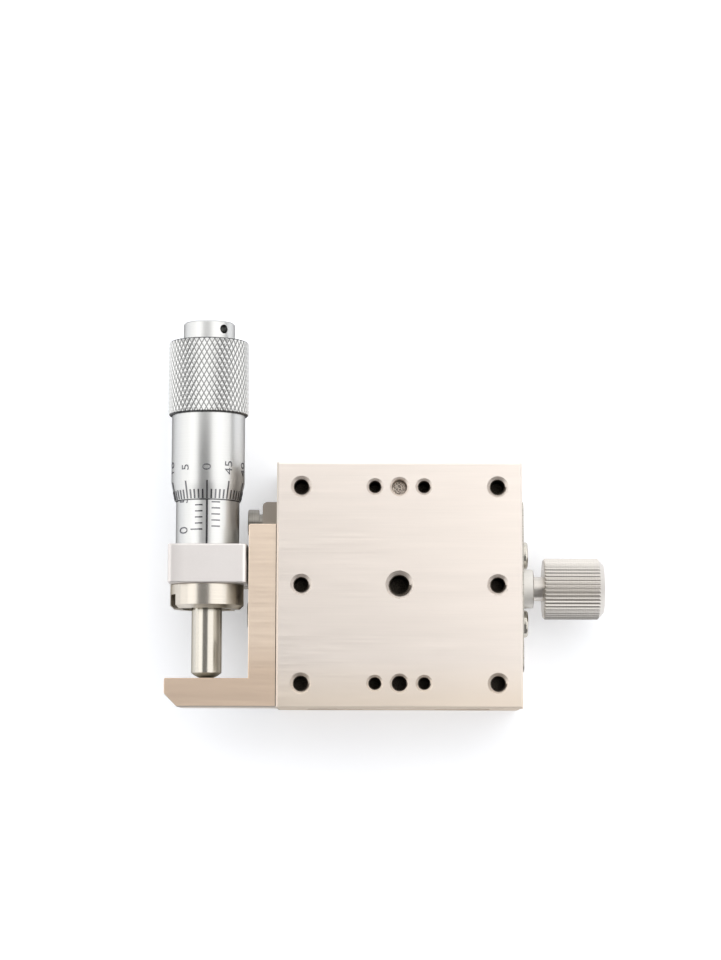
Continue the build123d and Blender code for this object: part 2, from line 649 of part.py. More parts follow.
def make_micrometer_holder():
    """The block that grips the micrometer, with the web and flange that reach the base under the arm."""
    top = micrometer_z + HOLDER_BLOCK_RISE
    body = block((block_left, block_right), (block_front, block_back), (HOLDER_BOTTOM, top))
    body = fillet(body.edges().group_by(Axis.Z)[-1].filter_by(Axis.Y), HOLDER_TOP_EDGE)
    front = body.faces().sort_by(Axis.Y)[0].edges()
    back = body.faces().sort_by(Axis.Y)[-1].edges()
    outer = (front + back).filter_by(lambda edge: edge.center().Z > HOLDER_BOTTOM + HOLDER_EDGE)
    body = fillet(outer.filter_by(lambda edge: edge.center().X < block_right - HOLDER_EDGE), HOLDER_EDGE)

    flange = block(
        (-half_width - FLANGE_THICKNESS, -half_width),
        (HOLDER_BLOCK_Y - FLANGE_LENGTH / 2, HOLDER_BLOCK_Y + FLANGE_LENGTH / 2),
        (HOLDER_BOTTOM, flange_top),
    )
    ends = flange.edges().filter_by(Axis.Z).filter_by(lambda edge: edge.center().X < -half_width - EDGE_BREAK)
    flange = fillet(ends, FLANGE_CORNER)
    web_left = block_right - HOLDER_TOP_EDGE
    web = block((web_left, -half_width), (block_front, block_back), (HOLDER_BOTTOM, flange_top))
    body += flange + web

    body -= on_micrometer(block_front) * rod(SHANK_DIAMETER / 2, HOLDER_BLOCK_LENGTH)
    for y in flange_screw_ys():
        hole = rod(FLANGE_SCREW_SHANK / 2, FLANGE_THICKNESS)
        body -= facing(-half_width - FLANGE_THICKNESS, y, flange_screw_z, "+X") * hole
    return body


def make_flange_screws():
    """The two screws that hold the holder to the base, each on a short neck."""
    length = FLANGE_THICKNESS + FLANGE_SCREW_GRIP
    neck = FLANGE_SCREW_NECK_LENGTH
    screw = cap_screw(FLANGE_SCREW_SHANK, length + neck, FLANGE_SCREW_HEAD, FLANGE_SCREW_HEAD_HEIGHT)
    screw += Pos(0, 0, -neck) * rod(FLANGE_SCREW_NECK / 2, neck)
    x = -half_width - FLANGE_THICKNESS - neck
    return [facing(x, y, flange_screw_z, "-X") * screw for y in flange_screw_ys()]


def make_stem():
    """The fixed inside of the micrometer: a shank through the block and a threaded barrel behind it."""
    bore = SPINDLE_DIAMETER / 2 + SCREW_CLEARANCE
    thread = SCREW_DIAMETER / 2 + SCREW_CLEARANCE
    front = block_front - SHANK_END
    profile = [
        (bore, 0),
        (SHANK_DIAMETER / 2, 0),
        (SHANK_DIAMETER / 2, block_back - front),
        (stem_diameter / 2, block_back - front),
        (stem_diameter / 2, sleeve_back - front),
        (STEM_NECK / 2, sleeve_back - front),
        (STEM_NECK / 2, stem_back - front),
        (thread, stem_back - front),
        (thread, stem_step - front),
        (bore, stem_step - front),
    ]
    return on_micrometer(front) * turned(profile)


def make_graduated_sleeve():
    """The outer tube that carries the millimetre scale."""
    outer = SLEEVE_DIAMETER / 2
    inner = stem_diameter / 2
    length = sleeve_back - block_back
    return on_micrometer(block_back) * turned([(inner, 0), (outer, 0), (outer, length), (inner, length)])


def make_adjusting_nut():
    """The nut at the stem's rear that takes up play in the screw."""
    outer = ADJUSTING_NUT_DIAMETER / 2
    inner = STEM_NECK / 2
    length = ADJUSTING_NUT_LENGTH
    nut = turned([(inner, 0), (outer, 0), (outer, length), (inner, length)])
    nut -= Pos(0, 0, length) * Box(ADJUSTING_NUT_DIAMETER, ADJUSTING_NUT_SLOT, ADJUSTING_NUT_SLOT)
    return on_micrometer(sleeve_back) * nut


def make_clamp_nut():
    """The slotted ring nut that pulls the micrometer's shoulder against the block."""
    outer = CLAMP_NUT_DIAMETER / 2
    inner = SHANK_DIAMETER / 2
    cut = CLAMP_NUT_CHAMFER
    length = CLAMP_NUT_LENGTH
    front = [(inner, 0), (outer - cut, 0), (outer, cut)]
    back_cut = CLAMP_NUT_BACK_CHAMFER
    back = [(outer, length - back_cut), (outer - back_cut, length), (inner, length)]
    nut = turned(front + back)
    slot = Box(CLAMP_NUT_DIAMETER, CLAMP_NUT_SLOT_WIDTH, 2 * CLAMP_NUT_SLOT_DEPTH)
    nut = on_micrometer(block_front - length) * nut
    turn = Rot(0, CLAMP_NUT_SLOT_ANGLE - 90, 0)
    return nut - Pos(micrometer_x, block_front - length, micrometer_z) * turn * Rot(-90, 0, 0) * slot


def make_spindle():
    """The spindle and its screw in one bar: domed tip, plain shaft, thread and the thimble's seat."""
    tip = anvil_face + SPINDLE_TIP_GAP
    radius = SPINDLE_DIAMETER / 2
    sphere = (radius**2 + SPINDLE_DOME**2) / (2 * SPINDLE_DOME)
    screw_start = stem_step + TRAVEL + THIMBLE_REAR_GAP - tip
    shoulder = end_wall - tip
    profile = [
        (0, 0),
        (radius, 0),
        (radius, screw_start),
        (SCREW_DIAMETER / 2, screw_start),
        (SCREW_DIAMETER / 2, shoulder),
        (SPINDLE_SEAT_DIAMETER / 2, shoulder),
        (SPINDLE_SEAT_DIAMETER / 2, shoulder + SPINDLE_SEAT_LENGTH),
        (0, shoulder + SPINDLE_SEAT_LENGTH),
    ]
    bar = turned(profile)
    dome = Pos(0, 0, sphere) * Sphere(sphere)
    bar = bar & (dome + Pos(0, 0, SPINDLE_DOME) * rod(SCREW_DIAMETER, shoulder + THIMBLE_END_WALL))
    hole = Pos(0, 0, thimble_back - CAP_SCREW_LENGTH - tip) * rod(CAP_SCREW_DIAMETER / 2, CAP_SCREW_LENGTH)
    return on_micrometer(tip) * (bar - hole)


def make_thimble():
    """The turning barrel: bevelled scale edge, plain body and the grip at its rear."""
    grip = THIMBLE_LENGTH - GRIP_LENGTH
    depth = THIMBLE_LENGTH - THIMBLE_END_WALL
    seat = depth + SPINDLE_SEAT_LENGTH
    profile = [
        (THIMBLE_BORE / 2, 0),
        (THIMBLE_EDGE_DIAMETER / 2, 0),
        (THIMBLE_DIAMETER / 2, THIMBLE_BEVEL),
        (THIMBLE_DIAMETER / 2, grip),
        (GRIP_DIAMETER / 2 - GRIP_CHAMFER, grip),
        (GRIP_DIAMETER / 2, grip + GRIP_CHAMFER),
        (GRIP_DIAMETER / 2, THIMBLE_LENGTH - GRIP_CHAMFER),
        (GRIP_DIAMETER / 2 - GRIP_CHAMFER, THIMBLE_LENGTH),
        (CAP_SCREW_DIAMETER / 2, THIMBLE_LENGTH),
        (CAP_SCREW_DIAMETER / 2, seat),
        (SPINDLE_SEAT_DIAMETER / 2, seat),
        (SPINDLE_SEAT_DIAMETER / 2, depth),
        (THIMBLE_BORE / 2, depth),
    ]
    return on_micrometer(thimble_front) * turned(profile)


def make_end_cap():
    """The cap whose screw holds the thimble on the spindle, with a cross hole for a tommy bar."""
    radius = CAP_DIAMETER / 2
    screw = CAP_SCREW_DIAMETER / 2
    cap = turned(
        [
            (0, -CAP_SCREW_LENGTH),
            (screw, -CAP_SCREW_LENGTH),
            (screw, 0),
            (radius, 0),
            (radius, CAP_LENGTH - CAP_CHAMFER),
            (radius - CAP_CHAMFER, CAP_LENGTH),
            (0, CAP_LENGTH),
        ]
    )
    cap = on_micrometer(thimble_back) * cap
    height = thimble_back + CAP_LENGTH - TOMMY_HOLE_INSET
    hole = Cylinder(TOMMY_HOLE / 2, CAP_DIAMETER)
    return cap - Pos(micrometer_x, height, micrometer_z) * Rot(0, TOMMY_HOLE_ANGLE, 0) * hole


def leaf_screw_ys():
    """The leaf's screws, one each side of the knob."""
    return [side * LEAF_SCREW_SPACING / 2 for side in (-1, 1)]


def make_lock_leaf():
    """The spring-steel leaf that the knob presses against the table's side."""
    outline = RectangleRounded(LEAF_LENGTH, LEAF_HEIGHT, LEAF_CORNER)
    leaf = extrude(Rot(0, 0, 90) * outline, amount=LEAF_THICKNESS)
    leaf = facing(half_width, 0, leaf_top - LEAF_HEIGHT / 2, "+X") * leaf
    for y in leaf_screw_ys():
        leaf -= facing(half_width, y, leaf_screw_z, "+X") * rod(LEAF_SCREW_SHANK / 2, LEAF_THICKNESS)
    hole = LOCK_SCREW_DIAMETER / 2 + LOCK_WASHER_CLEARANCE
    return leaf - facing(half_width, 0, lock_z, "+X") * rod(hole, LEAF_THICKNESS)


def make_leaf_screws():
    """The two low cross-head screws of the leaf."""
    rise = LEAF_SCREW_HEAD_HEIGHT
    head = rod(LEAF_SCREW_HEAD / 2, rise)
    head = fillet(head.edges().group_by(Axis.Z)[-1], LEAF_SCREW_HEAD_EDGE)
    for turn in (0, 90):
        arm = Box(LEAF_SCREW_CROSS, LEAF_SCREW_CROSS_WIDTH, 2 * LEAF_SCREW_RECESS)
        head -= Pos(0, 0, rise) * Rot(0, 0, turn) * arm
    length = LEAF_THICKNESS + LEAF_SCREW_GRIP
    screw = head + Pos(0, 0, -length) * rod(LEAF_SCREW_SHANK / 2, length)
    return [facing(leaf_face, y, leaf_screw_z, "+X") * screw for y in leaf_screw_ys()]


def make_lock_washer():
    """The thick washer between the knob's neck and the leaf."""
    outer = LOCK_WASHER_DIAMETER / 2
    inner = LOCK_SCREW_DIAMETER / 2 + LOCK_WASHER_CLEARANCE
    thick = LOCK_WASHER_THICKNESS
    cut = HEAD_BREAK
    near = [(inner, 0), (outer - cut, 0), (outer, cut)]
    far = [(outer, thick - cut), (outer - cut, thick), (inner, thick)]
    washer = turned(near + far)
    return facing(leaf_face, 0, lock_z, "+X") * washer


def make_lock_knob():
    """The thumb screw: ribbed knob, neck and the thread in the base's wall."""
    outer = KNOB_DIAMETER / 2
    inner = outer - KNOB_RIB_DEPTH
    pitch = 2 * math.pi / KNOB_RIBS
    land = KNOB_RIB_LAND * pitch
    corners = []
    for number in range(2 * KNOB_RIBS):
        radius = inner if number % 2 else outer
        for angle in (number * pitch / 2 - land / 2, number * pitch / 2 + land / 2):
            corners.append((radius * math.cos(angle), radius * math.sin(angle)))
    knob = extrude(Polygon(*corners, align=None), amount=KNOB_LENGTH)
    near = [(0, 0), (outer - KNOB_NECK_CHAMFER, 0), (outer, KNOB_NECK_CHAMFER)]
    cut = KNOB_FACE_CHAMFER
    far = [(outer, KNOB_LENGTH - cut), (outer - cut, KNOB_LENGTH), (0, KNOB_LENGTH)]
    knob = knob & turned(near + far)
    thread = LOCK_NECK_LENGTH + LOCK_WASHER_THICKNESS + LEAF_THICKNESS + LOCK_SCREW_GRIP
    knob += Pos(0, 0, -LOCK_NECK_LENGTH) * rod(LOCK_NECK_DIAMETER / 2, LOCK_NECK_LENGTH)
    knob += Pos(0, 0, -thread) * rod(LOCK_SCREW_DIAMETER / 2, thread)
    return facing(knob_face, 0, lock_z, "+X") * knob


nodes = {
    "base": make_base(),
    "base_rail_left": make_rail(-wall_face),
    "base_rail_right": make_rail(wall_face),
    "base_rail_screws": make_rail_screws(fixed=True),
    "cage_stops": make_cage_stops(),
    "cage_stop_screws": make_cage_stop_screws(),
    "base_spring_post": make_post(base_post_y, EDGE_BREAK, spring_z + SPRING_DIAMETER / 2),
    "return_spring": make_return_spring(),
    "micrometer_holder": make_micrometer_holder(),
    "holder_screws": make_flange_screws(),
    "micrometer_stem": make_stem(),
    "graduated_sleeve": make_graduated_sleeve(),
    "adjusting_nut": make_adjusting_nut(),
    "clamp_nut": make_clamp_nut(),
    "lock_leaf": make_lock_leaf(),
    "leaf_screws": make_leaf_screws(),
    "table": make_table(),
    "table_rail_left": make_rail(-spine_face),
    "table_rail_right": make_rail(spine_face),
    "table_rail_screws": make_rail_screws(fixed=False),
    "table_spring_post": make_post(table_post_y, spring_z - SPRING_DIAMETER / 2, spine_bottom + POST_EMBED),
    "plug_screw": make_plug_screw(),
    "anvil_bracket": make_anvil_bracket(),
    "bracket_screws": make_bracket_screws(),
    "roller_cage_left": make_cage(-1),
    "roller_cage_right": make_cage(1),
    "rollers_left": make_rollers(-1),
    "rollers_right": make_rollers(1),
    "spindle": make_spindle(),
    "thimble": make_thimble(),
    "end_cap": make_end_cap(),
    "lock_washer": make_lock_washer(),
    "lock_knob": make_lock_knob(),
}

for name, shape in nodes.items():
    piece = Compound(shape) if isinstance(shape, list) else shape
    export_step(piece, f"parts/{name}.step")
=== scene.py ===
"""Looks of the manual linear stage: camera, studio light, metals, knurl, scales, threads and spring.

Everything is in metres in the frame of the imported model. X runs across the stage, Y along its travel
and along the micrometer, Z up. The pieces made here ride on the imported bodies.
"""

import math

import bpy
from mathutils import Matrix, Vector


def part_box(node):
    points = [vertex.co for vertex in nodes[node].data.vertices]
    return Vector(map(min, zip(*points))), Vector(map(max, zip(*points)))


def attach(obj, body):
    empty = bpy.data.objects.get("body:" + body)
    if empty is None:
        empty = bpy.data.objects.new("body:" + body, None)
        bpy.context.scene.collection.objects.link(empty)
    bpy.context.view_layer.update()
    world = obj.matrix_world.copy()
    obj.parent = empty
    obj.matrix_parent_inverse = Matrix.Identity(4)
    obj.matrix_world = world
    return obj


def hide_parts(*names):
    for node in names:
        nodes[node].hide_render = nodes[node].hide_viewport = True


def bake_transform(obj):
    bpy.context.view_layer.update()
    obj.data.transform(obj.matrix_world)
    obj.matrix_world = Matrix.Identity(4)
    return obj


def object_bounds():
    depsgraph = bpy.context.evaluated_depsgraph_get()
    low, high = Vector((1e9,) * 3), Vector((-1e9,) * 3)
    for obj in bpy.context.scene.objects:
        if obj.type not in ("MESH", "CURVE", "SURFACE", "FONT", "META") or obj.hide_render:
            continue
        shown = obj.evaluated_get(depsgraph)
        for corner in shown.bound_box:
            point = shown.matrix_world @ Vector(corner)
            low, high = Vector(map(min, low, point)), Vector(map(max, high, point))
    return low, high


MM = 0.001
MERGE = 1e-7  # points this near to each other are one
SLACK = 0.1 * MM  # in tests of place
SMOOTH_DEG = 40  # softer bends than this are shaded smooth

# Camera, fitted to the photograph: almost straight down, tipped a little towards the thimble.
CAMERA_PLACE = (-0.00697, -0.02807, 0.41913)
CAMERA_TILT_DEG = (6.42, -0.10, 0.13)
CAMERA_LENS_MM = 92.81
CAMERA_SENSOR_MM = 36.0
CAMERA_NEAR = 10 * MM

# Light tent: name, middle, turn from facing down, size and radiance of each panel. It is open towards the
# front and round the camera, where metal reflects the dim room. Its places and strengths are fitted to the
# photograph's tones.
TENT = [
    ("tent_roof_right", (0.405, 0.27, 0.5), (0, 0, 0), (0.69, 0.66), 1.45),
    ("tent_roof_left", (-0.62, 0.22, 0.5), (0, 0, 0), (0.66, 0.76), 1.5),
    ("tent_roof_back", (-0.13, 0.36, 0.5), (0, 0, 0), (0.36, 0.48), 1.2),
    ("tent_roof_front_right", (0.455, -0.28, 0.5), (0, 0, 0), (0.59, 0.44), 1.35),
    ("tent_roof_front_left", (-0.72, -0.33, 0.5), (0, 0, 0), (0.46, 0.34), 1.35),
    ("tent_wall_left", (-0.95, 0.0, 0.25), (0, -90, 0), (0.46, 1.20), 1.25),
    ("tent_wall_right", (0.75, 0.0, 0.33), (0, 90, 0), (0.30, 1.20), 1.3),
    ("tent_wall_back", (-0.10, 0.60, 0.255), (-90, 0, 0), (1.60, 0.45), 1.2),
]
ROOM_STRENGTH = 0.3
FLOOR_SIZE = 3.0
FLOOR_GLOW = 0.3

# Knurl on the thimble's grip
KNURL_ROUND = 48  # diamonds round the grip
KNURL_ROW = 0.757 * MM  # from one row to the next, which is half a diamond
KNURL_DEPTH = 0.18 * MM
KNURL_FLAT_INSET = 0.32 * MM  # slope of each diamond, seen from above
KNURL_BREAK = 0.28 * MM  # chamfer at the grip's ends
KNURL_WALL = 0.9 * MM  # from the diamonds' tops to the band's inner wall
KNURL_SHADE_HEIGHT = 0.068 * MM  # height of the painted shade on the diamonds' slopes
KNURL_MERGE = 2e-6  # between neighbouring diamonds
GRIP_EDGE = 0.4 * MM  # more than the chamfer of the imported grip
GRIP_SKIN = 0.6 * MM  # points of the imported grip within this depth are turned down
CORE_SMOOTH_DEG = 30

# Scales
SCALE_TURN_DEG = 1.8  # how far the datum line stands over towards the stage
HOVER = 1 * MM  # height from which ink sinks onto a surface
INK_DEPTH = 0.05 * MM
FONT_CAP_SHARE = 0.72  # height of a numeral as a share of its font's size
NUMERAL_TRIM = 0.01 * MM  # taken off all round the strokes

# Sleeve: spans of its marks are counted across X from the datum line
ZERO_MARK = 2.45 * MM  # from the holder's block to the sleeve's zero
MARK_STEP = 0.5 * MM
MARK_COUNT = 21
MARK_WIDTH = 0.22 * MM
NUMBERED_SPAN = (-2.65 * MM, -0.72 * MM)
MILLIMETRE_SPAN = (-1.95 * MM, -0.72 * MM)
HALF_SPAN = (0.75 * MM, 2.13 * MM)
DATUM_WIDTH = 0.32 * MM
DATUM_OVERRUN = 1.2 * MM  # beyond the last mark
SLEEVE_NUMERAL_X = 3.75 * MM  # left of the datum line
SLEEVE_NUMERAL_BACK = 0.1 * MM  # towards the block from its mark
SLEEVE_NUMERAL_HEIGHT = 1.35 * MM
SLEEVE_NUMERAL_WIDENING = 1.4

# Thimble
THIMBLE_DIVISIONS = 50
DIVISION_WIDTH = 0.26 * MM
DIVISION_START = 0.06 * MM  # behind the thimble's edge
BEVEL_LENGTH = 3.0 * MM
LONG_DIVISION = BEVEL_LENGTH * 0.97
SHORT_DIVISION = BEVEL_LENGTH * 0.5
THIMBLE_NUMERAL_PLACE = 5.2 * MM  # behind the thimble's edge
THIMBLE_NUMERAL_HEIGHT = 1.45 * MM
THIMBLE_NUMERAL_WIDENING = 1.2
# Ring of painted shadow at the thimble's mouth
MOUTH_SHADOW_WIDTH = 0.17 * MM
MOUTH_SHADOW_HEIGHT = 0.07 * MM
MOUTH_SHADOW_WALL = MOUTH_SHADOW_HEIGHT * 0.9

# Tapped holes of the table: place, tapping radius and pitch, and depth
M2_5 = (1.025 * MM, 0.45 * MM)
M3 = (1.25 * MM, 0.5 * MM)
M4 = (1.65 * MM, 0.7 * MM)
CORNER = 16 * MM  # half of the holes' square
ROW = 4 * MM  # half of the distance between the small holes
TABLE_HOLES = [
    *(((x, y), M3, 5.6 * MM) for x in (-CORNER, CORNER) for y in (-CORNER, 0, CORNER)),
    *(((x, y), M2_5, 6 * MM) for x in (-ROW, ROW) for y in (-CORNER, CORNER)),
    ((0, -CORNER), M3, 6 * MM),
    ((0, 0), M4, 8 * MM),
]
BLIND_DEPTH = 6 * MM  # holes at least this deep end in the table
# Thickness of the discs of painted shade at the bottoms of the blind holes
SHADE_DISC_DEPTH = 0.05 * MM
THREAD_HEIGHT = 0.16 * MM
THREAD_ROOT = 0.01 * MM  # how far a ridge reaches into the hole's wall
THREAD_STEPS = 24
MOUTH_DEPTH = 0.5 * MM

# Coat over the plug screw
SEALANT_RADIUS = 1.1 * MM
SEALANT_HEIGHT = 0.75 * MM
SEALANT_EDGE = 0.12 * MM

# Painted shade on the base's walls, under the table's holes
WALL_SHADE_X = 16.2 * MM
WALL_SHADE_WIDTH = 2.9 * MM
WALL_SHADE_MARGIN = 1.6 * MM
WALL_SHADE_DEPTH = 0.03 * MM

# Return spring
SPRING_TURNS = 38
SPRING_STEPS = 20
SPRING_WIRE = 0.225 * MM  # radius
SPRING_NECK = 0.5 * MM  # from an end loop to the coil

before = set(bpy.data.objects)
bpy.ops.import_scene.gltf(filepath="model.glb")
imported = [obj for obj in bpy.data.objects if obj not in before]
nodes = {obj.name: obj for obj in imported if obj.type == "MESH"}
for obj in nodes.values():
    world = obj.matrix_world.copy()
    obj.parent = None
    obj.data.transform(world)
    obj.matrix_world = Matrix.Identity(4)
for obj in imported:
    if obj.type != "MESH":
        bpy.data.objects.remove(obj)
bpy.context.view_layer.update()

sleeve_low, sleeve_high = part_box("graduated_sleeve")
axis_x = (sleeve_low.x + sleeve_high.x) / 2
axis_z = (sleeve_low.z + sleeve_high.z) / 2
sleeve_radius = (sleeve_high.x - sleeve_low.x) / 2
thimble_low, thimble_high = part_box("thimble")
grip_radius = (thimble_high.x - thimble_low.x) / 2
table_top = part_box("table")[1].z


def from_axis(place):
    """How far a place is from the micrometer's axis."""
    return math.hypot(place.x - axis_x, place.z - axis_z)


grip_start = min(v.co.y for v in nodes["thimble"].data.vertices if from_axis(v.co) > grip_radius - GRIP_EDGE)


def linear(colour):
    """An sRGB hex colour as the linear values that shaders take."""
    values = [int(colour[i : i + 2], 16) / 255 for i in (1, 3, 5)]
    return [v / 12.92 if v <= 0.04045 else ((v + 0.055) / 1.055) ** 2.4 for v in values] + [1.0]


def add_node(tree, kind, inputs=None, **settings):
    """Adds a node, sets its settings, and sets or links its inputs."""
    node = tree.nodes.new(kind)
    for name, value in settings.items():
        setattr(node, name, value)
    for name, value in (inputs or {}).items():
        if isinstance(value, bpy.types.NodeSocket):
            tree.links.new(value, node.inputs[name])
        else:
            node.inputs[name].default_value = value
    return node


def position(tree):
    """A point's place in the part's frame."""
    return add_node(tree, "ShaderNodeTexCoord").outputs["Object"]


def along(tree, vector, axis):
    """One of a vector's three parts."""
    return add_node(tree, "ShaderNodeSeparateXYZ", {"Vector": vector}).outputs[axis]


def calculated(tree, operation, first, second):
    return add_node(tree, "ShaderNodeMath", {0: first, 1: second}, operation=operation).outputs["Value"]


def spread(tree, value, start, end, low=0.0, high=1.0):
    """A value as low at start and before it, as high at end and after it, and in between on the way."""
    limits = {"Value": value, "From Min": start, "From Max": end, "To Min": low, "To Max": high}
    return add_node(tree, "ShaderNodeMapRange", limits).outputs["Result"]


def mixed(tree, share, first, second):
    """The first colour where share is 0 and the second where it is 1."""
    inputs = {"Factor": share, "A": first, "B": second}
    return add_node(tree, "ShaderNodeMix", inputs, data_type="RGBA").outputs["Result"]


def noise(tree, place, scale, detail, roughness=0.5):
    inputs = {"Vector": place, "Scale": scale, "Detail": detail, "Roughness": roughness}
    return add_node(tree, "ShaderNodeTexNoise", inputs).outputs["Fac"]


def stretched_noise(tree, stretch, detail, roughness):
    """Noise with its own scale along each axis of the part."""
    mapping = add_node(tree, "ShaderNodeMapping", {"Vector": position(tree), "Scale": stretch})
    return noise(tree, mapping.outputs["Vector"], 1.0, detail, roughness)


def new_material(name):
    """An empty material with its output and its shader."""
    material = bpy.data.materials.new(name)
    material.use_nodes = True
    tree = material.node_tree
    tree.nodes.clear()
    shader = add_node(tree, "ShaderNodeBsdfPrincipled")
    add_node(tree, "ShaderNodeOutputMaterial", {"Surface": shader.outputs["BSDF"]})
    return material, tree, shader


def set_metal(tree, shader, colour, height, depth):
    """Makes a shader metal, with its colour and its fine relief."""
    bump = add_node(tree, "ShaderNodeBump", {"Height": height, "Distance": depth, "Strength": 1.0})
    tree.links.new(colour, shader.inputs["Base Color"])
    tree.links.new(bump.outputs["Normal"], shader.inputs["Normal"])
    shader.inputs["Metallic"].default_value = 1.0


def faded(tree, colour, other, axis, start, end):
    """Painted light and shade: a colour that takes over from another one between two places along an axis of
    the part.
    """
    return mixed(tree, spread(tree, along(tree, position(tree), axis), start, end), linear(other), colour)


def leaned(tree, colour, other, axis, start, full):
    """Painted light and shade: a colour that another one replaces on faces that are turned along an axis of
    the part.
    """
    normal = add_node(tree, "ShaderNodeNewGeometry").outputs["Normal"]
    return mixed(tree, spread(tree, along(tree, normal, axis), start, full), colour, linear(other))


def brushed_metal(
    name,
    light,
    dark,
    roughness,
    edge="#FFFFFF",
    grain=0.22 * MM,
    length=14 * MM,
    depth=2.5e-6,
    turned=(),
    painted_light_fades=(),
):
    """Plated metal brushed along X: fine scratches and longer, softer streaks of tone.

    Edge is its tint at a glance. Each entry of turned paints light and shade: a colour for the faces that are
    turned along an axis of the part, the axis, the lean at which it sets in and the lean from which it is
    full.
    Each painted fade is a colour of painted light and shade at one end of the part, the axis, the place up to
    which it is full and where it ends.
    """
    material, tree, shader = new_material(name)
    scratches = stretched_noise(tree, (1 / length, 1 / grain, 1 / grain), 3.0, 0.6)
    streaks = stretched_noise(tree, (0.6 / length, 0.12 / grain, 0.12 / grain), 2.0, 0.5)
    tone = calculated(tree, "ADD", scratches, streaks)
    colour = mixed(tree, spread(tree, tone, 0.7, 1.3), linear(dark), linear(light))
    for entry in painted_light_fades:
        colour = faded(tree, colour, *entry)
    for entry in turned:
        colour = leaned(tree, colour, *entry)
    set_metal(tree, shader, colour, scratches, depth)
    rough = spread(tree, scratches, 0.3, 0.7, roughness - 0.05, roughness + 0.05)
    tree.links.new(rough, shader.inputs["Roughness"])
    shader.inputs["Specular Tint"].default_value = linear(edge)
    return material


def oiled_grooves(tree, colour, groove_shade_colour):
    """A colour with another one at the root of the grip's knurl, as painted shade."""
    middle = {0: position(tree), 1: (axis_x, 0, axis_z)}
    offset = add_node(tree, "ShaderNodeVectorMath", middle, operation="SUBTRACT").outputs["Vector"]
    flat = {0: offset, 1: (1, 0, 1)}
    across = add_node(tree, "ShaderNodeVectorMath", flat, operation="MULTIPLY").outputs["Vector"]
    radius = add_node(tree, "ShaderNodeVectorMath", {0: across}, operation="LENGTH").outputs["Value"]
    root = grip_radius - KNURL_DEPTH
    return mixed(tree, spread(tree, radius, root, root + KNURL_SHADE_HEIGHT), linear(groove_shade_colour), colour)


def turned_metal(
    name,
    light,
    dark,
    roughness,
    axis,
    edge="#FFFFFF",
    groove=0.12 * MM,
    depth=1.2e-6,
    groove_shade=None,
):
    """Turned or ground metal: fine rings round an axis of the part ("X" or "Y").

    Edge is its tint at a glance. Groove_shade is the colour of painted shade at the root of the grip's knurl.
    """
    material, tree, shader = new_material(name)
    place = calculated(tree, "MULTIPLY", along(tree, position(tree), axis), 1 / groove)
    inputs = {"W": place, "Scale": 1.0, "Detail": 3.0, "Roughness": 0.65}
    rings = add_node(tree, "ShaderNodeTexNoise", inputs, noise_dimensions="1D").outputs["Fac"]
    cloud = noise(tree, position(tree), 90.0, 2.0)
    colour = mixed(tree, spread(tree, rings, 0.3, 0.7), linear(dark), linear(light))
    if groove_shade:
        colour = oiled_grooves(tree, colour, groove_shade)
    set_metal(tree, shader, colour, rings, depth)
    rough = spread(tree, cloud, 0.3, 0.7, roughness - 0.01, roughness + 0.01)
    tree.links.new(rough, shader.inputs["Roughness"])
    shader.inputs["Specular Tint"].default_value = linear(edge)
    return material


def blasted_metal(name, light, dark, roughness, grit=0.09 * MM, depth=4e-6, painted_light_fades=()):
    """Metal with small pits that have no direction, as fine grit leaves them."""
    material, tree, shader = new_material(name)
    pits = noise(tree, position(tree), 1 / grit, 2.0)
    cloud = noise(tree, position(tree), 180.0, 4.0)
    tone = calculated(tree, "ADD", pits, cloud)
    colour = mixed(tree, spread(tree, tone, 0.7, 1.3), linear(dark), linear(light))
    for entry in painted_light_fades:
        colour = faded(tree, colour, *entry)
    set_metal(tree, shader, colour, pits, depth)
    shader.inputs["Roughness"].default_value = roughness
    return material


def painted(name, light, dark, roughness, grain):
    """A matt, mottled coat."""
    material, tree, shader = new_material(name)
    mottle = noise(tree, position(tree), 1 / grain, 2.0)
    colour = mixed(tree, spread(tree, mottle, 0.35, 0.65), linear(dark), linear(light))
    tree.links.new(colour, shader.inputs["Base Color"])
    shader.inputs["Roughness"].default_value = roughness
    return material


# Nickel plate over brushed steel: a warm champagne metal with a long horizontal grain. Its two gradients are
# fitted to the photograph's tones and are painted light: warmer towards the front, a painted reflection, and
# darker along the left edge, painted shade. Its grey edge tint darkens its sides seen at a glance, as painted
# shade.
champagne_nickel = brushed_metal(
    "champagne_nickel_plate_brushed",
    "#F8EEE5",
    "#F3E9E0",
    0.42,
    "#B0A89E",
    painted_light_fades=[("#F2E4D4", "Y", -19 * MM, -12 * MM), ("#D9D0C7", "X", -19.75 * MM, -19.6 * MM)],
)
# The bracket's plate is browner, with a coarser grain. The colours of its sides and its foot are painted
# light and shade, fitted to the photograph's tones in the same way: neutral grey on upright faces, darker on
# faces to the front and towards the front of the foot, and near black on faces to the right, painted shadow
# in its joint with the table.
brown_nickel = brushed_metal(
    "brown_nickel_plate_brushed",
    "#F6E3CF",
    "#F0DCC8",
    0.42,
    grain=0.3 * MM,
    turned=[("#DEDAD3", "Z", 0.5, 0.2), ("#C9BFB4", "Y", -0.4, -0.6), ("#2A231C", "X", 0.3, 0.6)],
    painted_light_fades=[("#E6CFB9", "Y", -14 * MM, -9 * MM)],
)
# The holder is matt and a cool light grey, as blasted plate is. Its two gradients are painted shade, fitted
# in
# the same way: darker towards its left end and low down, on its flange.
blasted_nickel = blasted_metal(
    "nickel_plate_blasted",
    "#EDE8E5",
    "#E7E2DF",
    0.5,
    painted_light_fades=[("#DAD5D2", "X", -37.2 * MM, -35 * MM), ("#ADA59B", "Z", 9.5 * MM, 10.2 * MM)],
)
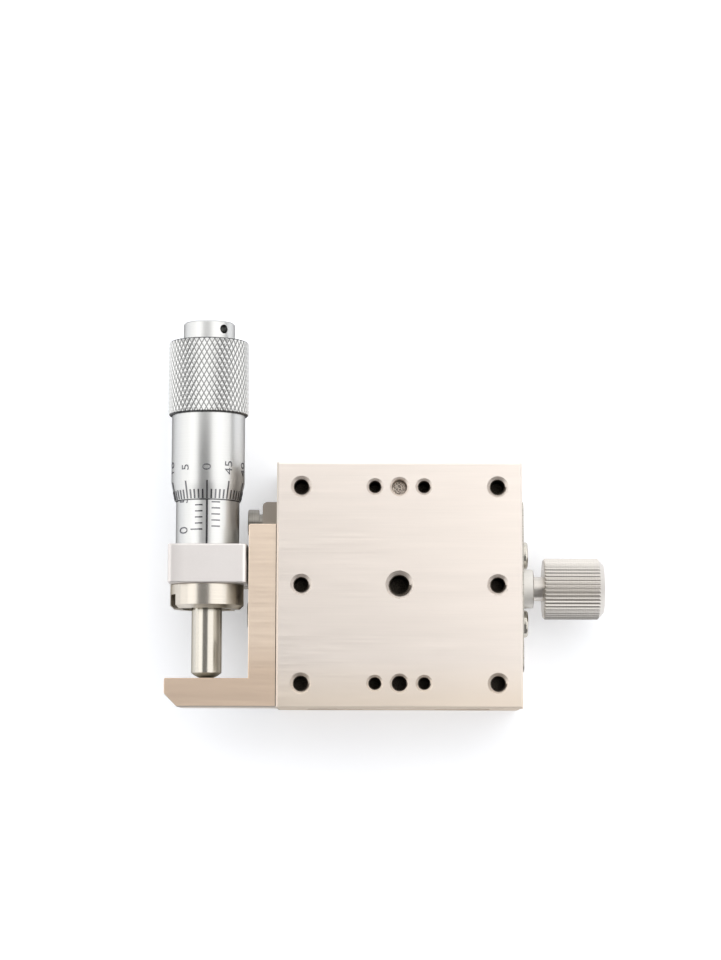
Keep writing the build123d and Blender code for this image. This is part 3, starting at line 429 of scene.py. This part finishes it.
# Satin chrome is neutral, with rings left by turning. The grey edge tints, here and on other round pieces,
# stand for dark parts of the studio that the tent doesn't have.
satin_chrome = turned_metal("satin_chrome_turned", "#D4D4D2", "#CECECC", 0.32, "Y", "#8C8C8C")
# The dark colour low on the slopes of the knurl's diamonds is painted shade in its grooves, and gives the
# net its tone in the photograph.
knurled_chrome = turned_metal(
    "satin_chrome_knurled", "#E3E3E1", "#DBDBD9", 0.4, "Y", "#6E6E6E", groove_shade="#686868"
)
# The spindle is the smoothest metal here, slightly warm.
ground_steel = turned_metal(
    "tool_steel_ground", "#CCC7BD", "#C4BEB3", 0.2, "Y", "#A8A59C", groove=0.08 * MM, depth=0.5e-6
)
nut_nickel = turned_metal("nickel_plate_turned_nut", "#D0C9BF", "#C6BFB4", 0.24, "Y", "#A8A398")
knob_nickel = turned_metal("nickel_plate_turned_knob", "#D6D1CB", "#CBC6BF", 0.3, "X")
washer_nickel = blasted_metal("nickel_plate_matt_washer", "#EFEDE9", "#E7E4DF", 0.6)
rail_steel = turned_metal("bearing_steel_ground", "#CFCFCE", "#BDBDBC", 0.18, "Y")
spring_leaf = brushed_metal("spring_steel_rolled", "#C9C5BD", "#B3AEA5", 0.3, length=6 * MM, grain=0.15 * MM)
screw_nickel = blasted_metal("nickel_plate_screws", "#BDB9B1", "#A5A098", 0.3, depth=1.5e-6)
bright_nickel = blasted_metal("nickel_plate_bright_screws", "#CFCBC2", "#B9B4AA", 0.16, depth=1e-6)
# The photograph shows a mottled disc in the plugged hole. That it is dried sealant is a guess.
sealant = painted("thread_sealant_dried", "#FFF6EC", "#43372D", 0.35, 0.22 * MM)
# Steel cap screws, darkened further as painted shade from the bracket's arm above them.
shaded_cap_steel = turned_metal("alloy_steel_cap_screws_with_painted_shade", "#99958E", "#85817A", 0.3, "X")
cage_brass = brushed_metal("brass_strip", "#D9B36A", "#C59D55", 0.3, grain=0.15 * MM)
wire_steel = blasted_metal("spring_wire_drawn", "#BFBFBD", "#A4A4A2", 0.28, depth=1e-6)
# Dark metal, almost black from above, for the tapped holes and for what shows through them. On the threads
# it is partly their steel and partly painted shade; on the discs at the holes' bottoms and on the base's
# walls it is painted shade alone.
tapped_steel_and_shade = blasted_metal("steel_tapped_and_painted_shade", "#6E665C", "#332E29", 0.45, grit=0.2 * MM, depth=4e-6)
# The marks are dark but glossy, as thinly filled engraving is.
black_enamel = turned_metal(
    "black_filled_engraving", "#77777A", "#6C6C6F", 0.14, "Y", "#8C8C8C", groove=0.2 * MM
)
# The dark ring at the thimble's mouth is painted shadow in the gap between the thimble and the sleeve.
# It may be shadow.
mouth_shadow_metal = turned_metal("painted_mouth_shadow", "#69696B", "#5C5C5E", 0.14, "Y", "#8C8C8C")
# The card glows a little, so that shadows on it stay pale.
floor_paper = painted("white_card", "#F4F6F9", "#F1F3F7", 0.9, 30 * MM)
floor_shader = floor_paper.node_tree.nodes["Principled BSDF"]
floor_shader.inputs["Emission Color"].default_value = linear("#F6F6F7")
floor_shader.inputs["Emission Strength"].default_value = FLOOR_GLOW

FINISHES = {
    champagne_nickel: ["base", "table"],
    brown_nickel: ["anvil_bracket"],
    blasted_nickel: ["micrometer_holder"],
    satin_chrome: ["graduated_sleeve", "thimble", "end_cap", "micrometer_stem"],
    ground_steel: ["spindle"],
    nut_nickel: ["clamp_nut", "adjusting_nut"],
    knob_nickel: ["lock_knob"],
    washer_nickel: ["lock_washer"],
    rail_steel: [
        "base_rail_left",
        "base_rail_right",
        "table_rail_left",
        "table_rail_right",
        "rollers_left",
        "rollers_right",
    ],
    spring_leaf: ["lock_leaf"],
    screw_nickel: [
        "base_rail_screws",
        "cage_stops",
        "cage_stop_screws",
        "table_rail_screws",
        "plug_screw",
        "bracket_screws",
    ],
    bright_nickel: ["leaf_screws"],
    shaded_cap_steel: ["holder_screws"],
    cage_brass: ["roller_cage_left", "roller_cage_right"],
    wire_steel: ["return_spring", "base_spring_post", "table_spring_post"],
}
for material, names in FINISHES.items():
    for name in names:
        for slot in nodes[name].material_slots:
            slot.material = material


def start_piece():
    """Leaves nothing selected, so that an operator reaches only the new piece."""
    if bpy.context.object and bpy.context.object.mode != "OBJECT":
        bpy.ops.object.mode_set(mode="OBJECT")
    bpy.ops.object.select_all(action="DESELECT")


def work_on(piece):
    """Makes a piece the only one selected."""
    start_piece()
    piece.select_set(True)
    bpy.context.view_layer.objects.active = piece


def settled():
    """The piece that was just added, with its place, turn and scale put into its mesh."""
    bpy.ops.object.transform_apply(location=True, rotation=True, scale=True)
    return bpy.context.object


def edit_all():
    """Opens the active piece's mesh with all of it selected."""
    bpy.ops.object.mode_set(mode="EDIT")
    bpy.ops.mesh.select_all(action="SELECT")


def select_where(piece, keep):
    """Opens a piece's mesh with those of its points selected that pass a test of place."""
    bpy.ops.object.mode_set(mode="EDIT")
    bpy.ops.mesh.select_mode(type="VERT")
    bpy.ops.mesh.select_all(action="DESELECT")
    bpy.ops.object.mode_set(mode="OBJECT")
    for vertex in piece.data.vertices:
        vertex.select = keep(vertex.co)
    bpy.ops.object.mode_set(mode="EDIT")


def select_open_edges():
    """Selects the rims of the openings in the mesh that is being edited."""
    bpy.ops.mesh.select_all(action="DESELECT")
    bpy.ops.mesh.select_non_manifold(
        extend=False, use_wire=False, use_multi_face=False, use_non_contiguous=False
    )


def close_up():
    """Merges what coincides in the active piece and turns all faces outwards."""
    bpy.ops.object.mode_set(mode="EDIT")
    bpy.ops.mesh.select_mode(type="VERT")
    bpy.ops.mesh.select_all(action="SELECT")
    bpy.ops.mesh.remove_doubles(threshold=MERGE)
    bpy.ops.mesh.normals_make_consistent(inside=False)
    bpy.ops.object.mode_set(mode="OBJECT")


def apply_modifiers(piece):
    work_on(piece)
    for modifier in list(piece.modifiers):
        bpy.ops.object.modifier_apply(modifier=modifier.name)


def wind(piece, pitch, turns, steps, merge=False):
    """Winds an outline up about Z."""
    screw = piece.modifiers.new("screw", "SCREW")
    screw.axis = "Z"
    screw.steps = steps
    screw.render_steps = steps
    screw.screw_offset = pitch
    screw.iterations = turns
    screw.use_merge_vertices = merge
    screw.merge_threshold = MERGE
    apply_modifiers(piece)


def finish_piece(piece, name, material, body):
    """Names a piece, gives it its finish and lets it ride on its body."""
    piece.name = name
    piece.data.materials.clear()
    piece.data.materials.append(material)
    if body:
        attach(piece, body)
    return piece


def copy_of(piece, place):
    """A copy with its own mesh, moved by a matrix."""
    twin = piece.copy()
    twin.data = piece.data.copy()
    twin.data.transform(place)
    bpy.context.scene.collection.objects.link(twin)
    return twin


def joined(pieces):
    """Several pieces as one object."""
    start_piece()
    for piece in pieces:
        piece.select_set(True)
    bpy.context.view_layer.objects.active = pieces[0]
    bpy.ops.object.join()
    return bpy.context.view_layer.objects.active


def shifted(x, y, z):
    return Matrix.Translation(Vector((x, y, z)))


def about_micrometer(angle, slide=0.0):
    """A turn about the micrometer's axis with a shift along it."""
    turn = shifted(axis_x, 0, axis_z) @ Matrix.Rotation(angle, 4, "Y") @ shifted(-axis_x, 0, -axis_z)
    return shifted(0, slide, 0) @ turn


def set_camera():
    data = bpy.data.cameras.new("camera")
    data.lens = CAMERA_LENS_MM
    data.sensor_width = CAMERA_SENSOR_MM
    data.clip_start = CAMERA_NEAR
    camera = bpy.data.objects.new("camera", data)
    camera.location = CAMERA_PLACE
    camera.rotation_euler = [math.radians(a) for a in CAMERA_TILT_DEG]
    bpy.context.scene.collection.objects.link(camera)
    bpy.context.scene.camera = camera


def softbox(name, place, turn_deg, size, radiance):
    """A rectangular studio light: its middle, how it is turned from facing down, and its size."""
    data = bpy.data.lights.new(name, "AREA")
    data.shape = "RECTANGLE"
    data.size, data.size_y = size
    data.energy = radiance * math.pi * size[0] * size[1]
    light = bpy.data.objects.new(name, data)
    light.location = place
    light.rotation_euler = [math.radians(a) for a in turn_deg]
    bpy.context.scene.collection.objects.link(light)


def light_studio():
    for panel in TENT:
        softbox(*panel)
    world = bpy.data.worlds.new("studio_room")
    world.use_nodes = True
    background = world.node_tree.nodes["Background"]
    background.inputs["Color"].default_value = linear("#EFEFF0")
    background.inputs["Strength"].default_value = ROOM_STRENGTH
    bpy.context.scene.world = world
    settings = bpy.context.scene.view_settings
    settings.view_transform = "Standard"
    settings.look = "None"


def lay_floor():
    """A sheet of white card, bright enough to print as paper white."""
    start_piece()
    bpy.ops.mesh.primitive_plane_add(size=FLOOR_SIZE, location=(0, 0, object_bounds()[0][2]))
    floor = settled()
    floor.name = "floor"
    floor.data.materials.append(floor_paper)


def knurl_diamond():
    """One diamond at the start of the grip's top: a flat top with slopes down to the grooves."""
    root = grip_radius - KNURL_DEPTH
    half_turn = math.pi / KNURL_ROUND
    middle = (axis_x, grip_start, axis_z + root)
    start_piece()
    bpy.ops.mesh.primitive_circle_add(vertices=4, radius=KNURL_ROW, fill_type="NGON", location=middle)
    diamond = settled()
    edit_all()
    narrow = root * math.sin(half_turn) / KNURL_ROW
    bpy.ops.transform.resize(value=(narrow, 1, 1), center_override=middle)
    select_where(diamond, lambda co: abs(co.x - axis_x) > SLACK)
    bpy.ops.transform.translate(value=(0, 0, -root * (1 - math.cos(half_turn))))
    bpy.ops.mesh.select_all(action="SELECT")
    bpy.ops.mesh.inset(thickness=KNURL_FLAT_INSET, depth=KNURL_DEPTH)
    bpy.ops.object.mode_set(mode="OBJECT")
    return diamond


def repeat_by(piece, counts_and_turns):
    """Repeats a piece by each turn in its turn."""
    steps = []
    for count, turn in counts_and_turns:
        step = bpy.data.objects.new("knurl_step", None)
        bpy.context.scene.collection.objects.link(step)
        step.matrix_world = turn
        steps.append(step)
        array = piece.modifiers.new("array", "ARRAY")
        array.use_relative_offset = False
        array.use_object_offset = True
        array.offset_object = step
        array.count = count
    bpy.context.view_layer.update()
    apply_modifiers(piece)
    for step in steps:
        bpy.data.objects.remove(step)


def knurled_band():
    """The diamond knurl of the grip, as a closed band."""
    half_turn = math.pi / KNURL_ROUND
    grip_end = thimble_high.y
    rows = math.ceil((grip_end - grip_start) / KNURL_ROW) + 1
    band = knurl_diamond()
    round_grip = (KNURL_ROUND, about_micrometer(2 * half_turn))
    along_grip = (rows, about_micrometer(half_turn, KNURL_ROW))
    repeat_by(band, [round_grip, along_grip])
    bpy.ops.object.mode_set(mode="EDIT")
    bpy.ops.mesh.select_mode(type="VERT")
    bpy.ops.mesh.select_all(action="SELECT")
    bpy.ops.mesh.remove_doubles(threshold=KNURL_MERGE)

    chamfered = (grip_radius - KNURL_BREAK) / grip_radius
    inner = (grip_radius - KNURL_WALL) / grip_radius
    for end, outwards in ((grip_start, -1), (grip_end, 1)):
        cut = end - outwards * KNURL_BREAK
        centre = (axis_x, end, axis_z)
        bpy.ops.mesh.select_all(action="SELECT")
        bpy.ops.mesh.bisect(plane_co=(axis_x, cut, axis_z), plane_no=(0, outwards, 0), clear_outer=True)
        bpy.ops.mesh.extrude_edges_move(TRANSFORM_OT_translate={"value": (0, outwards * KNURL_BREAK, 0)})
        bpy.ops.transform.resize(value=(chamfered, 1, chamfered), center_override=centre)
        bpy.ops.mesh.extrude_edges_move(TRANSFORM_OT_translate={"value": (0, 0, 0)})
        bpy.ops.transform.resize(value=(inner, 1, inner), center_override=centre)
    select_open_edges()
    bpy.ops.mesh.bridge_edge_loops()
    close_up()
    return finish_piece(band, "thimble_knurl", knurled_chrome, "micrometer_screw")


def thimble_core():
    """The thimble without its knurl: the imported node's shape with the grip turned down."""
    core = copy_of(nodes["thimble"], Matrix.Identity(4))
    core.parent = None
    for key in list(core.keys()):
        del core[key]
    work_on(core)
    edit_all()
    bpy.ops.mesh.remove_doubles(threshold=MERGE)
    bpy.ops.object.mode_set(mode="OBJECT")
    bpy.ops.mesh.customdata_custom_splitnormals_clear()
    select_where(core, lambda co: co.y > grip_start - SLACK and from_axis(co) > grip_radius - GRIP_SKIN)
    shrink = (grip_radius - 2 * KNURL_DEPTH) / grip_radius
    bpy.ops.transform.resize(value=(shrink, 1, shrink), center_override=(axis_x, grip_start, axis_z))
    bpy.ops.object.mode_set(mode="OBJECT")
    bpy.ops.object.shade_smooth_by_angle(angle=math.radians(CORE_SMOOTH_DEG))
    finish_piece(core, "thimble_core", satin_chrome, "micrometer_screw")
    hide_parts("thimble")
    return core


def flat_mark(width, length, x, y, z):
    """A line of ink lying flat: width across X, length along Y."""
    start_piece()
    bpy.ops.mesh.primitive_plane_add(size=1.0, location=(x, y, z))
    bpy.context.object.scale = (width, length, 1)
    return settled()


def numeral(text, x, y, z, height, widening):
    """A number as flat mesh, reading away from the block, with its top to the left."""
    start_piece()
    bpy.ops.object.text_add(location=(0, 0, 0))
    words = bpy.context.object
    words.data.body = text
    words.data.align_x = "CENTER"
    words.data.align_y = "CENTER"
    words.data.size = height / FONT_CAP_SHARE
    words.data.resolution_u = 4
    words.data.offset = -NUMERAL_TRIM
    bpy.ops.object.convert(target="MESH")
    mark = bpy.context.object
    edit_all()
    bpy.ops.mesh.remove_doubles(threshold=MERGE)
    bpy.ops.mesh.subdivide(number_cuts=1)
    bpy.ops.object.mode_set(mode="OBJECT")
    wide = Matrix.Diagonal((widening, 1, 1, 1))
    mark.data.transform(shifted(x, y, z) @ Matrix.Rotation(math.pi / 2, 4, "Z") @ wide)
    return mark


def lay_on(mark, target, slices=0):
    """Lets flat ink sink straight down onto a round surface and gives it a thickness."""
    work_on(mark)
    if slices:
        edit_all()
        bpy.ops.mesh.subdivide(number_cuts=slices)
        bpy.ops.object.mode_set(mode="OBJECT")
    wrap = mark.modifiers.new("wrap", "SHRINKWRAP")
    wrap.target = target
    wrap.wrap_method = "PROJECT"
    wrap.use_project_z = True
    wrap.use_negative_direction = True
    wrap.use_positive_direction = False
    ink = mark.modifiers.new("ink", "SOLIDIFY")
    ink.thickness = INK_DEPTH * 2
    ink.offset = 0.0
    apply_modifiers(mark)
    return mark


def finish_scale(marks, name, body):
    """Joins the marks of a scale and turns it to where it stands over."""
    scale = joined(marks)
    scale.data.transform(about_micrometer(math.radians(SCALE_TURN_DEG)))
    return finish_piece(scale, name, black_enamel, body)


def sleeve_scale():
    """Datum line, millimetres on the left, half millimetres on the right, and their numbers."""
    above = axis_z + sleeve_radius + HOVER
    zero = sleeve_low.y + ZERO_MARK
    end = zero + (MARK_COUNT - 1) * MARK_STEP + DATUM_OVERRUN
    marks = [flat_mark(DATUM_WIDTH, end - sleeve_low.y, axis_x, (end + sleeve_low.y) / 2, above)]
    numbers = []
    for number in range(MARK_COUNT):
        y = zero + number * MARK_STEP
        if number % 10 == 0:
            left, right = NUMBERED_SPAN
            numbers.append((number // 2, y - SLEEVE_NUMERAL_BACK))
        elif number % 2 == 0:
            left, right = MILLIMETRE_SPAN
        else:
            left, right = HALF_SPAN
        marks.append(flat_mark(right - left, MARK_WIDTH, axis_x + (left + right) / 2, y, above))
    x = axis_x - SLEEVE_NUMERAL_X
    for millimetres, y in numbers:
        figure = numeral(str(millimetres), x, y, above, SLEEVE_NUMERAL_HEIGHT, SLEEVE_NUMERAL_WIDENING)
        marks.append(figure)
    sleeve = nodes["graduated_sleeve"]
    return finish_scale([lay_on(mark, sleeve, slices=6) for mark in marks], "sleeve_scale", "base")


def thimble_scale(core):
    """Fifty divisions on the bevel, long at every fifth, and the numbers behind them."""
    above = axis_z + grip_radius + HOVER
    edge = thimble_low.y
    marks = []
    for number in range(THIMBLE_DIVISIONS):
        long = number % 5 == 0
        length = LONG_DIVISION if long else SHORT_DIVISION
        line = flat_mark(DIVISION_WIDTH, length, axis_x, edge + DIVISION_START + length / 2, above)
        laid = [lay_on(line, core, slices=2)]
        if long:
            y = edge + THIMBLE_NUMERAL_PLACE
            figure = numeral(str(number), axis_x, y, above, THIMBLE_NUMERAL_HEIGHT, THIMBLE_NUMERAL_WIDENING)
            laid.append(lay_on(figure, core))
        for mark in laid:
            mark.data.transform(about_micrometer(-2 * math.pi * number / THIMBLE_DIVISIONS))
        marks += laid
    return finish_scale(marks, "thimble_scale", "micrometer_screw")


def mouth_film():
    """The dark ring on the sleeve just in front of the thimble's edge: painted shadow of the gap between
    them.
    """
    start_piece()
    bpy.ops.mesh.primitive_cylinder_add(
        vertices=96,
        radius=sleeve_radius + MOUTH_SHADOW_HEIGHT,
        depth=MOUTH_SHADOW_WIDTH,
        end_fill_type="NOTHING",
        location=(axis_x, thimble_low.y - MOUTH_SHADOW_WIDTH / 2, axis_z),
        rotation=(math.pi / 2, 0, 0),
    )
    shadow_ring = settled()
    wall = shadow_ring.modifiers.new("wall", "SOLIDIFY")
    wall.thickness = MOUTH_SHADOW_WALL
    wall.offset = -1.0
    apply_modifiers(shadow_ring)
    close_up()
    bpy.ops.object.shade_smooth_by_angle(angle=math.radians(SMOOTH_DEG))
    return finish_piece(shadow_ring, "mouth_film", mouth_shadow_metal, "micrometer_screw")


def thread_ridge(radius, pitch, depth):
    """The ridge of a tapped thread about Z, running down from the origin."""
    turns = math.floor(depth / pitch)
    start_piece()
    bpy.ops.mesh.primitive_circle_add(vertices=3, radius=pitch / 2)
    ridge = settled()
    tip = radius - THREAD_HEIGHT
    foot = radius + THREAD_ROOT
    for vertex, x, z in zip(ridge.data.vertices, (tip, foot, foot), (0, pitch / 2, -pitch / 2)):
        vertex.co = (x, 0, z - turns * pitch)
    wind(ridge, pitch, turns, THREAD_STEPS, merge=True)
    bpy.ops.object.mode_set(mode="EDIT")
    bpy.ops.mesh.select_mode(type="EDGE")
    select_open_edges()
    bpy.ops.mesh.edge_face_add()
    close_up()
    return ridge


# A disc of painted shade
def dark_disc(x, y, z, radius):
    start_piece()
    bpy.ops.mesh.primitive_cylinder_add(vertices=24, radius=radius, depth=SHADE_DISC_DEPTH, location=(x, y, z))
    return settled()


def table_threads():
    """The threads that show in the table's tapped holes, and discs of painted shade at the bottoms of the
    blind ones.
    """
    ridges = {}
    copies = []
    for (x, y), (radius, pitch), depth in TABLE_HOLES:
        size = (radius, pitch, depth)
        if size not in ridges:
            ridges[size] = thread_ridge(radius, pitch, depth - MOUTH_DEPTH)
        copies.append(copy_of(ridges[size], shifted(x, y, table_top - MOUTH_DEPTH)))
        if depth >= BLIND_DEPTH:
            copies.append(dark_disc(x, y, table_top - depth + SHADE_DISC_DEPTH, radius))
    for ridge in ridges.values():
        bpy.data.objects.remove(ridge)
    return finish_piece(joined(copies), "table_threads", tapped_steel_and_shade, "carriage")


def plug_sealant():
    """The mottled disc in the plugged hole: a lump on the plug screw that leaves a gap around it."""
    low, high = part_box("plug_screw")
    start_piece()
    bpy.ops.mesh.primitive_cylinder_add(
        vertices=32,
        radius=SEALANT_RADIUS,
        depth=SEALANT_HEIGHT,
        location=((low.x + high.x) / 2, (low.y + high.y) / 2, high.z + SEALANT_HEIGHT / 2),
    )
    lump = settled()
    bevel = lump.modifiers.new("bevel", "BEVEL")
    bevel.width = SEALANT_EDGE
    bevel.segments = 3
    apply_modifiers(lump)
    return finish_piece(lump, "plug_sealant", sealant, "carriage")


def wall_grease():
    """A sheet of painted shade on each wall of the base, so that the table's outer holes look black from
    above.
    """
    low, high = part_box("base")
    shade_sheets = []
    for side in (-1, 1):
        start_piece()
        bpy.ops.mesh.primitive_cube_add(size=1.0, location=(side * WALL_SHADE_X, 0, high.z + WALL_SHADE_DEPTH / 2))
        bpy.context.object.scale = (WALL_SHADE_WIDTH, high.y - low.y - WALL_SHADE_MARGIN, WALL_SHADE_DEPTH)
        shade_sheets.append(settled())
    return finish_piece(joined(shade_sheets), "wall_grease", tapped_steel_and_shade, "base")


def return_coil():
    """The tension spring as a wound wire from the base's post to the table's."""
    low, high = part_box("return_spring")
    radius = (high.x - low.x) / 2 - SPRING_WIRE
    middle_z = (low.z + high.z) / 2
    post_low, post_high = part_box("base_spring_post")
    base_post = (post_low + post_high) / 2
    loop = (post_high.x - post_low.x) / 2 + SPRING_WIRE
    post_low, post_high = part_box("table_spring_post")
    table_post = (post_low + post_high) / 2
    front = table_post.y + loop + SPRING_NECK
    back = base_post.y - loop - SPRING_NECK
    start_piece()
    bpy.ops.mesh.primitive_circle_add(
        vertices=8, radius=SPRING_WIRE, location=(radius, 0, 0), rotation=(math.pi / 2, 0, 0)
    )
    coil = settled()
    wind(coil, (back - front) / SPRING_TURNS, SPRING_TURNS, SPRING_STEPS)
    coil.data.transform(shifted(0, front, middle_z) @ Matrix.Rotation(-math.pi / 2, 4, "X"))
    pieces = [coil]
    for post in (table_post, base_post):
        start_piece()
        bpy.ops.mesh.primitive_torus_add(
            location=(0, post.y, middle_z),
            major_radius=loop,
            minor_radius=SPRING_WIRE,
            major_segments=32,
            minor_segments=8,
        )
        pieces.append(settled())
    spring = joined(pieces)
    bpy.ops.object.mode_set(mode="EDIT")
    bpy.ops.mesh.select_mode(type="EDGE")
    select_open_edges()
    bpy.ops.mesh.fill()
    close_up()
    bpy.ops.object.shade_smooth_by_angle(angle=math.radians(SMOOTH_DEG))
    finish_piece(spring, "return_coil", wire_steel, None)
    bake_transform(spring)
    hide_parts("return_spring")
    return spring


set_camera()
light_studio()
lay_floor()
core = thimble_core()
knurled_band()
sleeve_scale()
thimble_scale(core)
mouth_film()
table_threads()
plug_sealant()
wall_grease()
return_coil()
